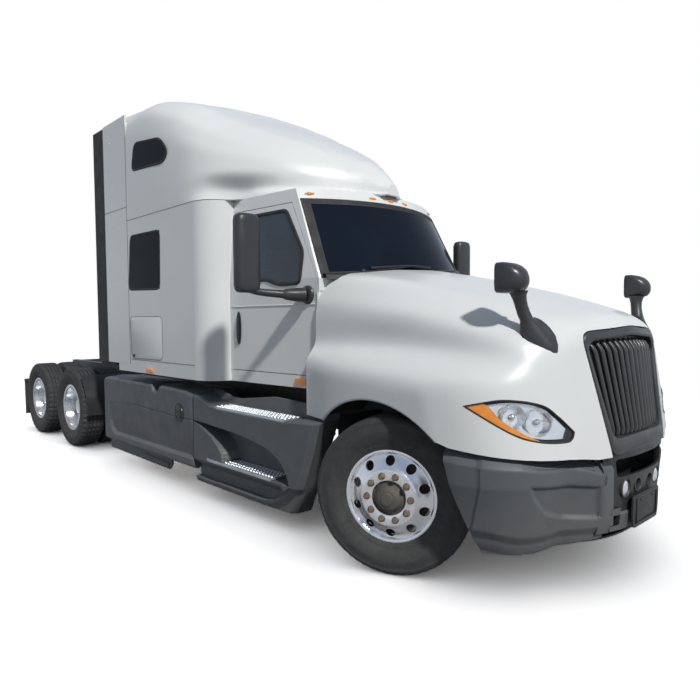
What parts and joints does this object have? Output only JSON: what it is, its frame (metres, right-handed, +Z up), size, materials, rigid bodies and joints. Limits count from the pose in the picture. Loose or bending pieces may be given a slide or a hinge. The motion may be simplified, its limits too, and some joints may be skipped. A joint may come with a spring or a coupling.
{
  "type": "semi truck tractor unit",
  "caption": "Conventional-cab road tractor with a high-roof sleeper, turned front wheels, tandem dual drive wheels and a tilting fifth wheel.",
  "frame": {"origin": "on the ground, midway along the vehicle and on its centre plane", "axes": "+X forward, +Y to the vehicle's left, +Z up"},
  "size_m": [8.7, 2.95, 3.9298],
  "materials": {
    "bedding": "woven",
    "polished_aluminium": "polished",
    "amber_lens": "gloss",
    "white_paint": "gloss",
    "black_rubber": "matt",
    "frame_paint": "satin",
    "seat_cloth": "woven",
    "black_plastic": "satin",
    "tyre_rubber": "matt",
    "cast_black": "rough casting",
    "trim_grey": "grained",
    "tread_aluminium": "bright",
    "grey_plastic": "grained",
    "machined_steel": "greased",
    "lamp_glass": "clear",
    "tinted_glass": "tinted"
  },
  "bodies": {
    "chassis": {"frame_rails": "frame_paint", "crossmembers": "frame_paint", "front_axle": "cast_black", "front_springs": "frame_paint", "drive_axles": "cast_black", "rear_suspension": "frame_paint", "engine": "cast_black", "radiator": "frame_paint", "driveline": "cast_black", "cab_mounts": "black_rubber", "cab_shell": "white_paint", "sleeper_shell": "white_paint", "roof_fairing": "white_paint", "windshield": "tinted_glass", "sleeper_windows": "tinted_glass", "dashboard": "trim_grey", "seats": "seat_cloth", "bunk": "bedding", "bumper": "grey_plastic", "bumper_insert": "black_plastic", "step_fairings": "grey_plastic", "step_treads": "tread_aluminium", "tank_fairings": "grey_plastic", "fuel_tanks": "polished_aluminium", "side_extenders": "white_paint", "extender_edges": "black_rubber", "quarter_fenders": "black_plastic", "mudflaps": "black_rubber", "lamps": "amber_lens", "fifth_wheel_base": "cast_black", "bumper_brackets": "frame_paint"},
    "hood": {"hood": "white_paint", "grille": "black_plastic", "headlamps": "lamp_glass", "hood_mirrors": "black_plastic"},
    "fifth_wheel": {"fifth_wheel_plate": "machined_steel"},
    "steering_wheel": {"steering_wheel": "black_plastic"},
    "tie_rod": {"tie_rod": "frame_paint"},
    "door_left": {"door_left": "white_paint", "door_glass_left": "tinted_glass", "mirror_left": "black_plastic"},
    "knuckle_left": {"knuckle_left": "cast_black"},
    "front_wheel_left": {"tyre_front_left": "tyre_rubber", "wheel_front_left": "polished_aluminium"},
    "front_drive_wheels_left": {"tyres_front_drive_left": "tyre_rubber", "wheels_front_drive_left": "polished_aluminium"},
    "rear_drive_wheels_left": {"tyres_rear_drive_left": "tyre_rubber", "wheels_rear_drive_left": "polished_aluminium"},
    "door_right": {"door_right": "white_paint", "door_glass_right": "tinted_glass", "mirror_right": "black_plastic"},
    "knuckle_right": {"knuckle_right": "cast_black"},
    "front_wheel_right": {"tyre_front_right": "tyre_rubber", "wheel_front_right": "polished_aluminium"},
    "front_drive_wheels_right": {"tyres_front_drive_right": "tyre_rubber", "wheels_front_drive_right": "polished_aluminium"},
    "rear_drive_wheels_right": {"tyres_rear_drive_right": "tyre_rubber", "wheels_rear_drive_right": "polished_aluminium"}
  },
  "joints": [
    {"name": "hood_tilt", "type": "hinge", "parent": "chassis", "child": "hood", "pos_m": [4.23, 0, 0.85], "axis": [0, 1, 0], "range_deg": [0, 65]},
    {"name": "door_left_swing", "type": "hinge", "parent": "chassis", "child": "door_left", "pos_m": [2.318, 0.9257, 1.9], "axis": [0, 0, -1], "range_deg": [0, 70]},
    {"name": "door_right_swing", "type": "hinge", "parent": "chassis", "child": "door_right", "pos_m": [2.318, -0.9257, 1.9], "axis": [0, 0, 1], "range_deg": [0, 70]},
    {"name": "steer_left", "type": "hinge", "parent": "chassis", "child": "knuckle_left", "pos_m": [3.13, 0.92, 0.512], "axis": [0, 0, 1], "range_deg": [-65, 15]},
    {"name": "steer_right", "type": "hinge", "parent": "chassis", "child": "knuckle_right", "pos_m": [3.13, -0.92, 0.512], "axis": [0, 0, 1], "range_deg": [-65, 15]},
    {"name": "tie_rod_pivot", "type": "hinge", "parent": "knuckle_left", "child": "tie_rod", "pos_m": [2.98046, 0.85027, 0.381], "axis": [0, 0, 1], "range_deg": [-15, 65]},
    {"name": "steering_wheel_turn", "type": "hinge", "parent": "chassis", "child": "steering_wheel", "pos_m": [1.8, 0.48, 1.79], "axis": [-0.8192, 0, 0.5736], "range_deg": [-1170, 270]},
    {"name": "front_wheel_left_spin", "type": "hinge", "parent": "knuckle_left", "child": "front_wheel_left", "pos_m": [3.07929, 1.02876, 0.512], "axis": [-0.4226, 0.9063, 0], "continuous": true},
    {"name": "front_drive_wheels_left_spin", "type": "hinge", "parent": "chassis", "child": "front_drive_wheels_left", "pos_m": [-2.283, 0.909, 0.512], "axis": [0, 1, 0], "continuous": true},
    {"name": "rear_drive_wheels_left_spin", "type": "hinge", "parent": "chassis", "child": "rear_drive_wheels_left", "pos_m": [-3.606, 0.909, 0.512], "axis": [0, 1, 0], "continuous": true},
    {"name": "front_wheel_right_spin", "type": "hinge", "parent": "knuckle_right", "child": "front_wheel_right", "pos_m": [3.18071, -1.02876, 0.512], "axis": [-0.4226, 0.9063, 0], "continuous": true},
    {"name": "front_drive_wheels_right_spin", "type": "hinge", "parent": "chassis", "child": "front_drive_wheels_right", "pos_m": [-2.283, -0.909, 0.512], "axis": [0, 1, 0], "continuous": true},
    {"name": "rear_drive_wheels_right_spin", "type": "hinge", "parent": "chassis", "child": "rear_drive_wheels_right", "pos_m": [-3.606, -0.909, 0.512], "axis": [0, 1, 0], "continuous": true},
    {"name": "fifth_wheel_tilt", "type": "hinge", "parent": "chassis", "child": "fifth_wheel", "pos_m": [-2.8845, 0, 1.12], "axis": [0, 1, 0], "range_deg": [-10, 10]}
  ],
  "couplings": [
    {"joint": "steer_right", "follows": "steer_left", "ratio": 1},
    {"joint": "tie_rod_pivot", "follows": "steer_left", "ratio": -1},
    {"joint": "steering_wheel_turn", "follows": "steer_left", "ratio": 18}
  ]
}
